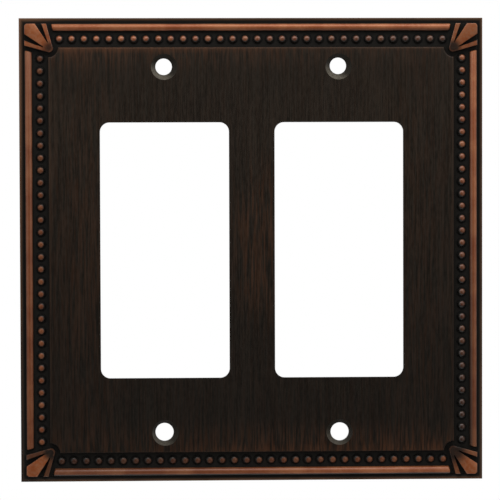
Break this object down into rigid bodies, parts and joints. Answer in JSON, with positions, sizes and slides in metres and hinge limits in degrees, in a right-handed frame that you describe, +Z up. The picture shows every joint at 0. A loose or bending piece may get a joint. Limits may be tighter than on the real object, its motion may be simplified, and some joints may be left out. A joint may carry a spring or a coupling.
{
  "type": "wall plate cover",
  "caption": "Two-gang decorator wall plate cover with a beaded and railed border, corner fans, a brushed panel, two device openings and countersunk screw holes.",
  "frame": {"origin": "centre of the plate on the wall plane, midway between the two gangs and between the upper and lower screws", "axes": "+Z up the wall, +Y into the wall, so the decorated face looks along -Y, and +X to the right of someone facing it"},
  "size_m": [0.123, 0.0066, 0.123],
  "materials": {
    "dark_bronze": "satin dark bronze",
    "brushed_bronze": "vertically brushed, satin",
    "rubbed_copper": "dark bronze rubbed back to copper, satin"
  },
  "bodies": {
    "root": {"plate_frame": "dark_bronze", "face_panel": "brushed_bronze", "rail_top": "rubbed_copper", "rail_bottom": "rubbed_copper", "rail_left": "rubbed_copper", "rail_right": "rubbed_copper", "bead_row_top": "dark_bronze", "bead_row_bottom": "dark_bronze", "bead_row_left": "dark_bronze", "bead_row_right": "dark_bronze", "corner_fan_top_left": "rubbed_copper", "corner_fan_top_right": "rubbed_copper", "corner_fan_bottom_right": "rubbed_copper", "corner_fan_bottom_left": "rubbed_copper"}
  },
  "joints": []
}
